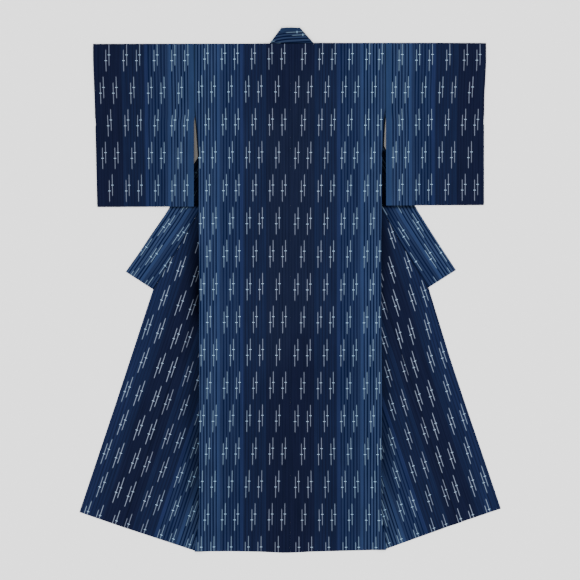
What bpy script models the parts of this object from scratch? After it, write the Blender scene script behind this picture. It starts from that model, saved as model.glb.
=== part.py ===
"""Kimono, laid flat with its back up: sizes in millimetres, X across, Y up the garment, Z off the floor.

Each side is worked in its own flat pattern: "across" runs outward from the centre back seam and "down"
runs from the shoulder fold to the hem. The front lies under the back, and is folded outward along a crease
from the hem corner to the neck, so that the overlaps fan out on both sides.
"""
import math

import bmesh
import bpy
import numpy as np

CLOTH = 1.2                 # wall of every cloth length
BAND = 1.8                  # wall of the collar, a doubled strip
SEAM = 0.3                  # clearance between pieces at a seam
UNDER_GAP = 1.0             # air between the front and the overlap under it
LOOSE_GAP = 1.4             # air between two layers of one piece
LAYER = CLOTH + LOOSE_GAP   # from one layer's middle to the next
FOLD_REACH = LAYER / 2 + CLOTH / 2   # how far a soft fold stands out past its last column
SHOULDER_Y = 790.0          # the shoulder fold's place, up from the middle of the part
CREASE_TILT = math.radians(9.2)      # the front's crease, off the upright
ARMHOLE = 229.0             # length of the armhole seam
SIDE_SEAM_TOP = 363.0       # where the side seam begins
RAMP_START, RAMP = 12.0, 40.0        # past an edge: level, then the length of the slope
ARC_STEPS = 4               # steps round a soft fold

SIGN = {"left": -1, "right": 1}

# down, across: outline of the body's side, with the armhole seam at its top
BODY_EDGE = {
    "left": [(0, 306.4), (229, 304.8), (242, 302.6), (290, 297.8), (363, 293.9), (1365, 293.9), (1510, 291.0), (1624, 306.4)],
    "right": [(0, 304.8), (210, 302.9), (242, 301.6), (328, 299.4), (363, 295.5), (424, 293.3), (900, 293.6), (1365, 288.5),
              (1500, 289.5), (1620, 308.0)],
}
# across, with left negative, and down: the back's hem
HEM = [(-306, 1624.0), (-192, 1623.0), (-97, 1625.6), (-23, 1629.6), (0, 1629.6), (70, 1626.6), (191, 1623.4), (310, 1619.0)]
# down, across: the sleeve's cuff edge, and its edge beside the body
CUFF = {
    "left": [(0, 631.2), (53, 631.2), (117, 628.6), (181, 626.1), (341, 622.2), (522, 618.2)],
    "right": [(0, 626.7), (53, 627.2), (117, 624.5), (165, 621.4), (247, 620.3), (517, 620.3)],
}
SLEEVE_EDGE = {
    "left": [(0, 306.7), (229, 306.7), (250, 308.6), (522, 308.6)],
    "right": [(0, 305.1), (229, 305.1), (250, 306.7), (517, 306.7)],
}
SLEEVE_FOOT = {"left": (521.0, 523.6), "right": (517.6, 517.2)}    # down, at the body side and at the cuff
SHOULDER_DROP = {"left": 1.3, "right": -1.4}                        # down, at the cuff end of the shoulder fold
NECK_POINT = {"left": 66.4, "right": 74.4}                          # across, where collar and shoulder meet
BAND_TOP = {"left": 25.4, "right": 29.6}                            # across, the end of the collar's upper edge
BAND_HEIGHT = 49.9
NECK_DROP = {"left": 1.4, "right": 0.2}                             # down, the collar seam beside the neck point

# across, down: where the overlap shows, folded out on the floor
HEM_CORNER = {"left": (307.4, 1623.7), "right": (312.8, 1619.0)}
FRONT_TIP = {"left": (673.4, 1495.7), "right": (674.4, 1489.9)}     # hem end of the overlap's front edge
OKUMI_HEM = {"left": (534.0, 1544.7), "right": (538.7, 1538.5)}     # hem end of the okumi seam
OKUMI_SEAM = {   # across, down: from the hem up to the collar
    "left": [OKUMI_HEM["left"], (307.4, 862.0), (196.0, 460.0), (137.8, 210.2)],
    "right": [OKUMI_HEM["right"], (313.1, 862.7), (201.0, 460.0), (141.0, 207.0)],
}
# across, down, width, lag: the collar's seam on the overlap; lag slides the row's outer end back up the seam
COLLAR_RUN = {
    "left": [(53.6, 63.7, 50.6, 0), (96, 137, 55, 0), (137.8, 210.2, 62, 0), (170, 285, 70, 0), (205, 365, 79, 0),
             (245, 445, 84, 0), (285, 525, 88, 0), (323, 592, 92, 0), (362, 659, 96, 0), (401, 723, 99.5, 2.5),
             (440.8, 787.5, 105.2, 6.9)],
    "right": [(61.6, 62, 50.6, 0), (100, 135, 57, 0), (141, 207, 67, 0), (173, 282, 80, 0), (207, 362, 92, 0),
              (247.5, 442, 98, 0), (288, 522, 99.7, 0), (326, 588, 98.5, 0), (364, 655, 100.8, 0), (403, 719, 102.8, 1),
              (442.4, 782.7, 105.1, 3)],
}


def column(table, at, x_col=0, y_col=1):
    """The value of a table's column at a place along another of its columns."""
    rows = sorted(table, key=lambda row: row[x_col])
    return float(np.interp(at, [row[x_col] for row in rows], [row[y_col] for row in rows]))


def ease(distance, start=RAMP_START, length=RAMP):
    """1 up to `start` past an edge, then a soft slope down to 0."""
    x = min(max((distance - start) / length, 0.0), 1.0)
    return 1.0 - x * x * (3.0 - 2.0 * x)


def hem_down(side, across):
    return column(HEM, SIGN[side] * across)


def crease_across(side, down):
    corner = HEM_CORNER[side]
    return corner[0] - (corner[1] - down) * math.tan(CREASE_TILT)


def fold_out(side, point):
    """A point of the front's flat pattern, turned over the crease; the same again turns it back."""
    corner, (s, c) = HEM_CORNER[side], (math.sin(CREASE_TILT), math.cos(CREASE_TILT))
    x, y = point[0] - corner[0], point[1] - corner[1]
    along = -x * s - y * c
    return corner[0] - 2 * along * s - x, corner[1] - 2 * along * c - y


# --- the collar's run, and its outer edge ---

def closed(side, table):
    """down, across, then the rest: rows of a folded-out table in the flat pattern."""
    out = []
    for row in table:
        across, down = fold_out(side, row[:2])
        out.append((down, across) + tuple(row[2:]))
    return sorted(out)


def seam_point(side, down):
    """The collar's seam on the floor, at a place down the flat pattern."""
    return fold_out(side, (column(closed(side, COLLAR_RUN[side]), down), down))


def run_row(side, down):
    """The collar's seam and outer edge at a place down the flat pattern."""
    table = closed(side, COLLAR_RUN[side])
    before, after = seam_point(side, max(down - 25, table[0][0])), seam_point(side, min(down + 25, table[-1][0]))
    length = math.hypot(after[0] - before[0], after[1] - before[1])
    ta, td = (after[0] - before[0]) / length, (after[1] - before[1]) / length
    a, d = seam_point(side, down)
    width, lag = column(table, down, 0, 2), column(table, down, 0, 3)
    return (a, d), (a + td * width - ta * lag, d - ta * width - td * lag)


def run_stations(side):
    table = closed(side, COLLAR_RUN[side])
    return [table[0][0]] + [d for d in STATIONS if table[0][0] + 5 < d < table[-1][0] - 5] + [table[-1][0]]


def stations(side):
    """Rows that every piece shares, so that two pieces turn at the same places along their seam."""
    run = run_stations(side)
    return [d for d in STATIONS if d < run[0] - 5] + run + [d for d in STATIONS if d > run[-1] + 5] + [HEM_CORNER[side][1]]


def band_edge(side):
    """down, across: the outer edge of what the collar covers on the floor."""
    return [(-45.0, BAND_TOP[side] + 1.0)] + [run_row(side, d)[1][::-1] for d in run_stations(side)]


STATIONS = [2, 30, 82, 110, 145, 185, 229, 262, 310, 363, 430, 520, 620, 740, 860, 980, 1100, 1220, 1340, 1440, 1520, 1580]

EDGE = {side: band_edge(side) for side in SIGN}


# --- heights of the layers' middles ---

def over_band(side, across, down):
    """1 where the collar or the overlap lies underneath, sloping to 0 past the collar's outer edge."""
    return ease((across - column(EDGE[side], down)) * 0.86)


def front_height(side, across, down):
    return CLOTH / 2 + (CLOTH + UNDER_GAP + 0.4) * over_band(side, across, down)


def back_height(side, across, down):
    on_front = ease((crease_across(side, down) - across) * math.cos(CREASE_TILT))
    by_neck = 0.9 * ease(down, 10.0, 95.0) * ease(across, NECK_POINT[side], 40.0)
    lift = 1.0 - (1.0 - on_front) * (1.0 - by_neck)
    return CLOTH / 2 + lift * (front_height(side, across, down) - CLOTH / 2 + LAYER)


def sleeve_height(side, across, down):
    return CLOTH / 2 + (BAND + 0.6) * over_band(side, across, down)


# --- sheets: a middle surface of quads, then its two faces and rims ---

class Sheet:
    def __init__(self, name, wall):
        self.name, self.wall, self.points, self.index, self.quads = name, wall, [], {}, []

    def point(self, key, across, down, z, side):
        self.index[key] = len(self.points)
        self.points.append((SIGN[side] * across, SHOULDER_Y - down, z))

    def at(self, key):
        return np.array(self.points[self.index[key]])

    def quad(self, *keys):
        self.quads.append([self.index[key] for key in keys])

    def grid(self, name, rows, columns, keep=lambda i, j: True):
        for i in range(rows - 1):
            for j in range(columns - 1):
                if keep(i, j):
                    self.quad((name, i, j), (name, i + 1, j), (name, i + 1, j + 1), (name, i, j + 1))

    def bend(self, name, upper, lower, outward):
        """A half round from each key in upper to the one in lower, standing out along its own way."""
        chains = []
        for n, (top, foot, way) in enumerate(zip(upper, lower, outward)):
            a, b = self.at(top), self.at(foot)
            chain = [top]
            for k in range(1, ARC_STEPS):
                turn = math.pi * k / ARC_STEPS
                middle, radius = (a + b) / 2, (a[2] - b[2]) / 2
                out = np.array([way[0], way[1], 0.0]) * radius * math.sin(turn)
                place = a + (b - a) * (1 - math.cos(turn)) / 2 + out
                key = (name, top, k)
                if key not in self.index:
                    self.index[key] = len(self.points)
                    self.points.append(tuple(place))
                chain.append(key)
            chain.append(foot)
            chains.append(chain)
        for one, two in zip(chains, chains[1:]):
            for k in range(ARC_STEPS):
                self.quad(one[k], two[k], two[k + 1], one[k + 1])

    def build(self):
        """One closed solid, the wall split evenly about the middle surface."""
        middle = bmesh.new()
        verts = [middle.verts.new(p) for p in self.points]
        for quad in self.quads:
            middle.faces.new([verts[i] for i in quad])
        bmesh.ops.recalc_face_normals(middle, faces=middle.faces[:])
        middle.normal_update()
        middle.verts.index_update()
        solid = bmesh.new()
        faces = {}
        for half in (1, -1):
            for v in middle.verts:
                if v.link_faces:
                    faces[half, v.index] = solid.verts.new((v.co + v.normal * (half * self.wall / 2)) * 0.001)
        for f in middle.faces:
            ring = [v.index for v in f.verts]
            solid.faces.new([faces[1, i] for i in ring])
            solid.faces.new([faces[-1, i] for i in reversed(ring)])
        for e in middle.edges:
            if len(e.link_faces) == 1:
                a, b = (loop.vert.index for loop in (e.link_loops[0], e.link_loops[0].link_loop_next))
                solid.faces.new([faces[1, b], faces[1, a], faces[-1, a], faces[-1, b]])
        bmesh.ops.recalc_face_normals(solid, faces=solid.faces[:])
        mesh = bpy.data.meshes.new(self.name)
        solid.to_mesh(mesh)
        piece = bpy.data.objects.new(self.name, mesh)
        bpy.context.scene.collection.objects.link(piece)
        return piece


def steps(start, end, count):
    return [start + (end - start) * n / count for n in range(count + 1)]


# --- the body: back panel, shoulder fold, front panel with its crease, side seam ---

F1_COLUMNS, F2_COLUMNS, CENTRE_COLUMNS = 5, 4, 5
PAST_CREASE = (3.0, 9.0, 20.0, 36.0, 52.0)    # the back's columns past the crease, where it comes down to the floor


def inner_edge(side, down):
    """The front panel's inner edge in the flat pattern: the neck, then the okumi seam."""
    neck = [(0.0, NECK_POINT[side])] + closed(side, [row[:2] for row in COLLAR_RUN[side][:3]])
    return column(neck + closed(side, OKUMI_SEAM[side][:-1]), down)


def front_places(side, down):
    """Columns of the front from the side edge to its crease, or to its inner edge above the crease."""
    sewn = min(max((down - (SIDE_SEAM_TOP - 30)) / 30, 0.0), 1.0)
    edge = column(BODY_EDGE[side], down) - FOLD_REACH * sewn
    end = max(min(crease_across(side, down) + 2.0, edge - 6.0), inner_edge(side, down))
    band = column(EDGE[side], down)
    width = edge - end
    inner = max(min(band + RAMP_START / 0.86, edge - width * 0.4), end + min(6.0, width * 0.6))
    outer = max(min(band + (RAMP_START + RAMP) / 0.86, edge - width * 0.2), inner + min(4.0, width * 0.2))
    return [edge, outer] + steps(inner, end, F1_COLUMNS - 2)


def body(side):
    s = Sheet("body_" + side, CLOTH)
    rows = stations(side)
    last = len(rows) - 1
    fold_row = rows.index(82)
    seam_row = rows.index(SIDE_SEAM_TOP)
    past = F1_COLUMNS + len(PAST_CREASE)
    way = (math.cos(CREASE_TILT), -math.sin(CREASE_TILT))
    for i, down in enumerate(rows):
        front = front_places(side, down)
        crease = crease_across(side, down)
        back = front + [front[-1] - 2.0 - p * min(1.0, (front[-1] - 4.0) / 60.0) for p in PAST_CREASE]
        back += steps(back[-1], SEAM / 2, CENTRE_COLUMNS)[1:]
        for j, across in enumerate(back):
            d = down
            if i == 0:
                d = FOLD_REACH + SHOULDER_DROP[side] * across / 620.0
            elif i == last:
                d = hem_down(side, across)
            s.point(("back", i, j), across, d, back_height(side, across, d), side)
            if j <= F1_COLUMNS:
                s.point(("front", i, j), across, d, front_height(side, across, d), side)
        if i >= fold_row:
            start, low = s.at(("front", i, F1_COLUMNS)), CLOTH / 2
            a0, d0, radius = SIGN[side] * start[0], SHOULDER_Y - start[1], (start[2] - low) / 2
            for k in range(1, ARC_STEPS + 1):
                turn = math.pi * k / ARC_STEPS
                s.point(("front", i, F1_COLUMNS + k), a0 - radius * math.sin(turn) * way[0], d0 - radius * math.sin(turn) * way[1],
                        low + radius * (1 + math.cos(turn)), side)
            tucked = fold_out(side, (inner_edge(side, down), down)) if i < last else OKUMI_HEM[side]
            for k in range(1, F2_COLUMNS + 1):
                s.point(("front", i, F1_COLUMNS + ARC_STEPS + k), a0 + (tucked[0] - a0) * k / F2_COLUMNS,
                        d0 + (tucked[1] - d0) * k / F2_COLUMNS, low, side)
    s.grid("back", last + 1, past + CENTRE_COLUMNS + 1)
    s.grid("front", last + 1, F1_COLUMNS + ARC_STEPS + F2_COLUMNS + 1, lambda i, j: i >= fold_row or j < F1_COLUMNS)
    s.bend("shoulder", [("back", 0, j) for j in range(F1_COLUMNS + 1)], [("front", 0, j) for j in range(F1_COLUMNS + 1)],
           [(0, 1)] * (F1_COLUMNS + 1))
    sewn = range(seam_row, last + 1)
    s.bend("side", [("back", i, 0) for i in sewn], [("front", i, 0) for i in sewn], [(SIGN[side], 0)] * len(sewn))
    return s.build()


# --- the sleeves: a length folded at the top, sewn at the foot and up the cuff to the wrist opening ---

SLEEVE_ROWS = [0, 50, 110, 170, 229, 262, 310, 363, 400, 440, 480, 520]
SLEEVE_COLUMNS = [0, 10, 22, 36, 52, 70, 86, 95, 100]       # per cent of the way to the cuff


def sleeve(side):
    s = Sheet("sleeve_" + side, CLOTH)
    last, end = len(SLEEVE_ROWS) - 1, len(SLEEVE_COLUMNS) - 1
    wrist = SLEEVE_ROWS.index(262)
    for i, base in enumerate(SLEEVE_ROWS):
        sewn = min(max((base - ARMHOLE) / 30, 0.0), 1.0)
        inner = column(SLEEVE_EDGE[side], base)
        cuff = column(CUFF[side], base) - FOLD_REACH * sewn
        places = [inner + (cuff - inner) * share / 100 for share in SLEEVE_COLUMNS]
        for j, past in ((1, RAMP_START), (2, RAMP_START + RAMP)):
            places[j] = max(places[j], column(EDGE[side], base) + past / 0.86)
        for j in range(3, end):
            places[j] = max(places[j], places[j - 1] + 12.0)
        for j, a in enumerate(places):
            share = SLEEVE_COLUMNS[j] / 100
            foot = SLEEVE_FOOT[side][0] + (SLEEVE_FOOT[side][1] - SLEEVE_FOOT[side][0]) * share - FOLD_REACH
            top = FOLD_REACH + SHOULDER_DROP[side] * a / 620.0
            d = top + (foot - top) * base / SLEEVE_ROWS[-1]
            low = sleeve_height(side, a, d)
            s.point(("front", i, j), a, d, low, side)
            s.point(("back", i, j), a, d, low + LAYER, side)
    s.grid("back", last + 1, end + 1)
    s.grid("front", last + 1, end + 1)
    every, foot_way = range(end + 1), [(0, -1)] * end + [(SIGN[side] * 0.71, -0.71)]
    s.bend("top", [("back", 0, j) for j in every], [("front", 0, j) for j in every], [(0, 1)] * (end + 1))
    s.bend("foot", [("back", last, j) for j in every], [("front", last, j) for j in every], foot_way)
    rows = range(wrist, last + 1)
    s.bend("foot", [("back", i, end) for i in rows], [("front", i, end) for i in rows],
           [(SIGN[side], 0)] * (len(rows) - 1) + [foot_way[-1]])
    return s.build()


# --- the okumi: from the collar down to the hem, flat on the floor ---

OKUMI_COLUMNS = 3


def okumi(side):
    s = Sheet("okumi_" + side, CLOTH)
    collar_end = closed(side, COLLAR_RUN[side])[-1][0]
    rows = [245.0] + [d for d in stations(side) if d > 250]
    front = closed(side, [row[:2] for row in COLLAR_RUN[side][2:]] + [FRONT_TIP[side]])
    hem = rows[-1]
    for i, down in enumerate(rows):
        inner = (inner_edge(side, down) - SEAM, down)
        if i == len(rows) - 1:
            hem_across, hem_place = fold_out(side, OKUMI_HEM[side])
            inner = (hem_across - SEAM, hem_place)
        outer_down = down if down < collar_end + 1 else collar_end + (front[-1][0] - collar_end) * (down - collar_end) / (hem - collar_end)
        outer = (column(front, outer_down) + (SEAM if down < collar_end + 1 else 0.0), outer_down)
        for j in range(OKUMI_COLUMNS + 1):
            share = j / OKUMI_COLUMNS
            a, d = fold_out(side, [inner[n] + (outer[n] - inner[n]) * share for n in (0, 1)])
            s.point(("okumi", i, j), a, d, CLOTH / 2, side)
    s.grid("okumi", len(rows), OKUMI_COLUMNS + 1)
    return s.build()


# --- the collar: one strip, folded under beside the neck and turned out again along a crease ---

BAND_COLUMNS = 5
TOP_ROWS = 3                         # rows from the centre to the neck fold
UNDER_LEVEL = BAND * 1.5 + 0.6       # middle of the strip between the neck fold and the crease


def lay_strip(s, side):
    """One side's rows, from the centre back outward."""
    neck = (NECK_POINT[side] - 1.9, NECK_DROP[side] - 0.2)
    top = (BAND_TOP[side] - 1.7, -BAND_HEIGHT + 1.4)
    run = [run_row(side, d) for d in run_stations(side)]
    crossing = run[0][0]
    crossing_in = (crossing[0] - 1.6, crossing[1])
    rows = []

    def row(seam, outer, height):
        out = []
        for k in range(BAND_COLUMNS + 1):
            a, d = (seam[n] + (outer[n] - seam[n]) * k / BAND_COLUMNS for n in (0, 1))
            out.append((a, d, height(a, d) if callable(height) else height))
        rows.append(out)
        return out

    def turn_under(lower, way):
        """A half round from the last row down to the lower one."""
        upper = rows[-1]
        for k in range(1, ARC_STEPS):
            turn = math.pi * k / ARC_STEPS
            arc = []
            for one, two in zip(upper, lower):
                out = (one[2] - two[2]) / 2 * math.sin(turn)
                share = (1 - math.cos(turn)) / 2
                arc.append(tuple(one[n] + (two[n] - one[n]) * share + out * (way + (0.0,))[n] for n in range(3)))
            rows.append(arc)
        rows.append(lower)

    def square(one, two, toward):
        """The way square to a line, on the side of a place."""
        a, d = two[0] - one[0], two[1] - one[1]
        length = math.hypot(a, d)
        way = (d / length, -a / length)
        lean = (toward[0] - one[0]) * way[0] + (toward[1] - one[1]) * way[1]
        return way if lean > 0 else (-way[0], -way[1])

    over = lambda a, d: max(back_height(side, a, max(d, 0.0)) - CLOTH / 2 + BAND / 2, BAND / 2)
    for n in range(TOP_ROWS + 1):
        t = n / TOP_ROWS
        row((neck[0] * t, neck[1] * t + 0.9 * (1 - t)), (top[0] * t, -BAND_HEIGHT + 1.4 * t), over)
    under = [(a, d, UNDER_LEVEL) for a, d, _ in rows[-1]]
    turn_under(under, square(neck, top, (neck[0], -BAND_HEIGHT)))
    row(((neck[0] + crossing_in[0]) / 2, (neck[1] + crossing_in[1]) / 2), (top[0], top[1] + 0.6), UNDER_LEVEL)
    row(crossing_in, (top[0], top[1] + 1.2), UNDER_LEVEL)
    out = [(a, d, BAND / 2) for a, d, _ in rows[-1]]
    turn_under(out, square(crossing_in, top, (0.0, 0.0)))
    middle = [(top[n] + run[0][1][n]) / 2 for n in (0, 1)]
    row((crossing_in[0] + 0.5, crossing_in[1] + 0.4), middle, BAND / 2)
    for n, (seam, outer) in enumerate(run):
        length = math.hypot(outer[0] - seam[0], outer[1] - seam[1])
        row([seam[m] + (outer[m] - seam[m]) * SEAM / length for m in (0, 1)], outer, BAND / 2)
    skip = 1 if side == "right" else 0
    for i, points in enumerate(rows[skip:]):
        for j, (a, d, z) in enumerate(points):
            s.point((side, i, j), a, d, z, side)
    s.grid(side, len(rows) - skip, BAND_COLUMNS + 1)


def collar():
    s = Sheet("collar", BAND)
    for side in SIGN:
        lay_strip(s, side)
    for j in range(BAND_COLUMNS):
        s.quad(("left", 0, j), ("right", 0, j), ("right", 0, j + 1), ("left", 0, j + 1))
    return s.build()


# --- the cloth's colours ---

COLOURS = {"body": (0.016, 0.036, 0.095), "sleeve": (0.018, 0.04, 0.1), "okumi": (0.012, 0.026, 0.072), "collar": (0.022, 0.055, 0.14)}


def dress(piece):
    """Matt indigo cloth, lighter or darker with the part of the loom width that the piece is cut from."""
    name = piece.name.split("_")[0] + "_cloth"
    cloth = bpy.data.materials.get(name)
    if not cloth:
        cloth = bpy.data.materials.new(name)
        cloth.use_nodes = True
        shader = cloth.node_tree.nodes["Principled BSDF"]
        shader.inputs["Base Color"].default_value = COLOURS[name.split("_")[0]] + (1.0,)
        shader.inputs["Roughness"].default_value = 0.85
        shader.inputs["Metallic"].default_value = 0.0
    piece.data.materials.append(cloth)
    piece.data.shade_smooth()
    piece.data.set_sharp_from_angle(angle=math.radians(40))


for thing in list(bpy.data.objects):
    bpy.data.objects.remove(thing, do_unlink=True)
for name in ("left", "right"):
    for make in (body, sleeve, okumi):
        dress(make(name))
dress(collar())
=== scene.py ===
"""Kimono, laid flat with its back up, in indigo cloth with stripes and pale kasuri ticks.

Sizes are in millimetres until a mesh is made. "across" runs outward from the centre back seam and "down"
from the shoulder fold to the hem, as in the cut. Every vertex also keeps its place on the loom: how far
it lies from the dark selvedge, and how far along the warp.
"""
import math

import bmesh
import bpy
import numpy as np
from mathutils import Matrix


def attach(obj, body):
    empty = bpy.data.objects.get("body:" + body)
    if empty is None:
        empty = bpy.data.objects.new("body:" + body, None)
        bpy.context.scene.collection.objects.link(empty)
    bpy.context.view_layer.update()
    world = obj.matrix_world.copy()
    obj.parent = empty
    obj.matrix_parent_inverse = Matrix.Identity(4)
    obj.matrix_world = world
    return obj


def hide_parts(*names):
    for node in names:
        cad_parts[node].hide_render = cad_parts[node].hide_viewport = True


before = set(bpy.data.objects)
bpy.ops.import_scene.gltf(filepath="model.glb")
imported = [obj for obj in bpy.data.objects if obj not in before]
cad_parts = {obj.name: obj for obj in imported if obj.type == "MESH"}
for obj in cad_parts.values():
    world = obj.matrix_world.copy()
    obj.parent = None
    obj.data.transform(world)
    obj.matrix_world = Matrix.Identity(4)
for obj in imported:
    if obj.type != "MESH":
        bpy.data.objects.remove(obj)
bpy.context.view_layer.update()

CLOTH, BAND = 1.2, 1.8                  # the walls: single cloth, and the collar's doubled cloth
SEAM = 0.05                             # each piece stops this far from a seam
LOOSE_GAP, BAND_GAP = 1.4, 0.6          # air between two layers of cloth, and over the collar
LAYER = CLOTH + LOOSE_GAP
FOLD_REACH = LAYER / 2 + CLOTH / 2      # a fold's outside stands this far past the ends of its layers
SHOULDER_Y = 790.0
CREASE_TILT = math.radians(9.2)         # the crease that each front turns over, off the upright
ARMHOLE, SIDE_SEAM_TOP = 229.0, 363.0
SEWN_IN = 30.0                          # an edge makes room for the sewn fold over this length
RAMP_START, RAMP = 12.0, 40.0           # a layer comes down within this distance of what it lies over
SLANT = 0.86                            # distance from the band's slanting edge, as a share of the way across
ARC_STEPS = 8
ROW_STEP = 9.0
SIGN = {"left": -1, "right": 1}

# the outlines: (down, across) for upright edges, (across, down) for level ones, with left across negative
BODY_EDGE = {
    "left": [(0, 306.4), (229, 304.8), (242, 302.6), (290, 297.8), (363, 293.5), (430, 292.9), (580, 292.6),
             (720, 291.4), (1365, 291.7), (1510, 291.0), (1624, 306.4)],
    "right": [(0, 304.8), (215, 304.4), (244, 300.6), (328, 297.3), (363, 294.0), (424, 292.7), (560, 292.8),
              (620, 291.2), (870, 291.2), (1040, 292.9), (1230, 293.3), (1365, 291.0), (1500, 291.5),
              (1620, 308.0)],
}
HEM = [(-306, 1626.4), (-192, 1625.4), (-97, 1627.2), (-23, 1630.6), (0, 1630.4), (70, 1626.8),
       (191, 1623.6), (310, 1620.4)]
CUFF = {
    "left": [(0, 631.2), (53, 631.2), (117, 628.6), (181, 626.1), (341, 622.2), (522, 618.2)],
    "right": [(0, 626.7), (53, 627.2), (117, 624.5), (165, 621.4), (247, 620.3), (517, 620.3)],
}
SLEEVE_EDGE = {
    "left": [(0, 306.45), (229, 304.85), (250, 308.6), (522, 308.6)],
    "right": [(0, 304.85), (215, 304.45), (229, 305.2), (250, 306.7), (517, 306.7)],
}
SLEEVE_FOOT = {"left": (522.4, 523.8), "right": (519.0, 517.4)}     # down, beside the body and at the cuff
SHOULDER = {
    "left": [(0, 0.0), (620, 1.3)],
    "right": [(0, 0.0), (80, -1.4), (120, -1.9), (480, -2.1), (620, -1.4)],
}
NECK_POINT = {"left": 66.4, "right": 74.4}                              # where the band meets the shoulder
BAND_TOP, BAND_HEIGHT = {"left": 27.8, "right": 30.4}, 50.7
HEM_CORNER = {"left": (307.4, 1623.7), "right": (312.8, 1619.0)}        # the crease's foot

# corners and edges of the fronts as they lie turned out, (across, down)
FRONT_TIP = {"left": (674.9, 1500.3), "right": (674.1, 1489.0)}
OKUMI_EDGE = {
    "left": [(508.6, 1000.0), (557.8, 1150.0), (601.3, 1280.0)],
    "right": [(509.4, 1000.0), (559.0, 1150.0), (603.4, 1280.0)],
}
OKUMI_HEM = {"left": (535.2, 1548.4), "right": (537.5, 1535.0)}
OKUMI_SEAM = {
    "left": [OKUMI_HEM["left"], (307.4, 862.0), (196.0, 460.0), (137.8, 210.2)],
    "right": [OKUMI_HEM["right"], (313.1, 862.7), (201.0, 460.0), (141.0, 207.0)],
}
# the collar's seam, its width there, and how far its outer edge lags behind
COLLAR_RUN = {
    "left": [(53.6, 63.7, 50.6, 0), (96, 137, 55, 0), (137.8, 210.2, 62, 0), (170, 285, 70, 0),
             (205, 365, 79, 0), (245, 445, 84, 0), (285, 525, 86.4, 0), (323, 592, 89.6, 0),
             (362, 659, 95.4, 0), (401, 723, 98.4, 2.5), (438.9, 787.2, 104.3, 4.1)],
    "right": [(61.6, 62, 50.6, 0), (100, 135, 57, 0), (141, 207, 67, 0), (173, 282, 80, 0),
              (207, 362, 92, 0), (247.5, 442, 98, 0), (288, 522, 97.8, 0), (326, 588, 97.2, 0),
              (364, 655, 100.8, 0), (403, 719, 102.8, 1), (442.6, 781.0, 103.9, -0.4)],
}
# rows of the body, the okumi and the collar, by down
STATIONS = [2, 30, 82, 110, 145, 185, 229, 262, 310, 363, 430, 520, 620, 740, 860, 980, 1100, 1220, 1340,
            1440, 1520, 1580]
STATION_ROOM = 5                        # none of them this near the collar's ends
CREASE_TOP = 82                         # the crease begins at this row


# the flat pattern

def column(table, at, x_col=0, y_col=1, soften=0.0):
    """The value of a table's column at a place along another of its columns, its corners softened."""
    rows = sorted(table, key=lambda row: row[x_col])
    xs, ys = [row[x_col] for row in rows], [row[y_col] for row in rows]
    if not soften:
        return float(np.interp(at, xs, ys))
    return sum(float(np.interp(at + soften * n, xs, ys)) for n in (-1.0, -0.5, 0.0, 0.5, 1.0)) / 5


def ramp(value, start, end):
    """0 up to start and 1 from end on, even between; end may be the smaller."""
    return min(max((value - start) / (end - start), 0.0), 1.0)


def ease(distance, start=RAMP_START, length=RAMP):
    """1 up to start, falling softly to 0 over a length; a negative length runs the other way."""
    x = min(max((distance - start) / length, 0.0), 1.0)
    return 1.0 - x * x * (3.0 - 2.0 * x)


def hem_down(side, across):
    return column(HEM, SIGN[side] * across, soften=12.0)


def shoulder_down(side, across):
    return FOLD_REACH + column(SHOULDER[side], across)


def crease_across(side, down):
    corner = HEM_CORNER[side]
    return corner[0] - (corner[1] - down) * math.tan(CREASE_TILT)


def fold_out(side, point):
    """A point of the front's flat pattern, turned over the crease; the same again turns it back."""
    corner, (s, c) = HEM_CORNER[side], (math.sin(CREASE_TILT), math.cos(CREASE_TILT))
    x, y = point[0] - corner[0], point[1] - corner[1]
    along = -x * s - y * c
    return corner[0] - 2 * along * s - x, corner[1] - 2 * along * c - y


def closed(side, table):
    """A table of places that lie turned out, turned back into the flat pattern, (down, across)."""
    out = []
    for row in table:
        across, down = fold_out(side, row[:2])
        out.append((down, across) + tuple(row[2:]))
    return sorted(out)


def fine(rows):
    """The same rows with more between them."""
    out = [rows[0]]
    for a, b in zip(rows, rows[1:]):
        n = max(1, math.ceil((b - a) / ROW_STEP))
        out += [a + (b - a) * k / n for k in range(1, n)] + [b]
    return out


def steps(start, end, count):
    return [start + (end - start) * n / count for n in range(count + 1)]


def split(places, counts):
    """The same places with each interval cut into its count of even parts."""
    out = [places[0]]
    for a, b, n in zip(places, places[1:], counts):
        out += steps(a, b, n)[1:]
    return out


CLOSED_RUN = {side: closed(side, COLLAR_RUN[side]) for side in SIGN}


def seam_point(side, down):
    return fold_out(side, (column(CLOSED_RUN[side], down), down))


def run_row(side, down, reach=25):
    """The collar's seam and outer edge at a place down the flat pattern."""
    table = CLOSED_RUN[side]
    before = seam_point(side, max(down - reach, table[0][0]))
    after = seam_point(side, min(down + reach, table[-1][0]))
    length = math.hypot(after[0] - before[0], after[1] - before[1])
    ta, td = (after[0] - before[0]) / length, (after[1] - before[1]) / length
    a, d = seam_point(side, down)
    width, lag = column(table, down, 0, 2), column(table, down, 0, 3)
    return (a, d), (a + td * width - ta * lag, d - ta * width - td * lag)


def run_stations(side):
    start, end = CLOSED_RUN[side][0][0], CLOSED_RUN[side][-1][0]
    return [start] + [d for d in STATIONS if start + STATION_ROOM < d < end - STATION_ROOM] + [end]


def stations(side):
    run = run_stations(side)
    above = [d for d in STATIONS if d < run[0] - STATION_ROOM]
    below = [d for d in STATIONS if d > run[-1] + STATION_ROOM]
    return fine(above + run + below + [HEM_CORNER[side][1]])


# the collar's outer edge as it lies, (down, across), up to the top of the neck
EDGE = {
    side: [(-45.0, BAND_TOP[side] + 1.0)] + [run_row(side, d)[1][::-1] for d in fine(run_stations(side))]
    for side in SIGN
}


# heights of the layers' middles

# beside the neck the back stays lifted: by a share, down to a place and on over a length, and past the neck
NECK_LIFT, NECK_LIFT_DOWN, NECK_LIFT_PAST = 0.9, (10.0, 95.0), 40.0


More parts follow.
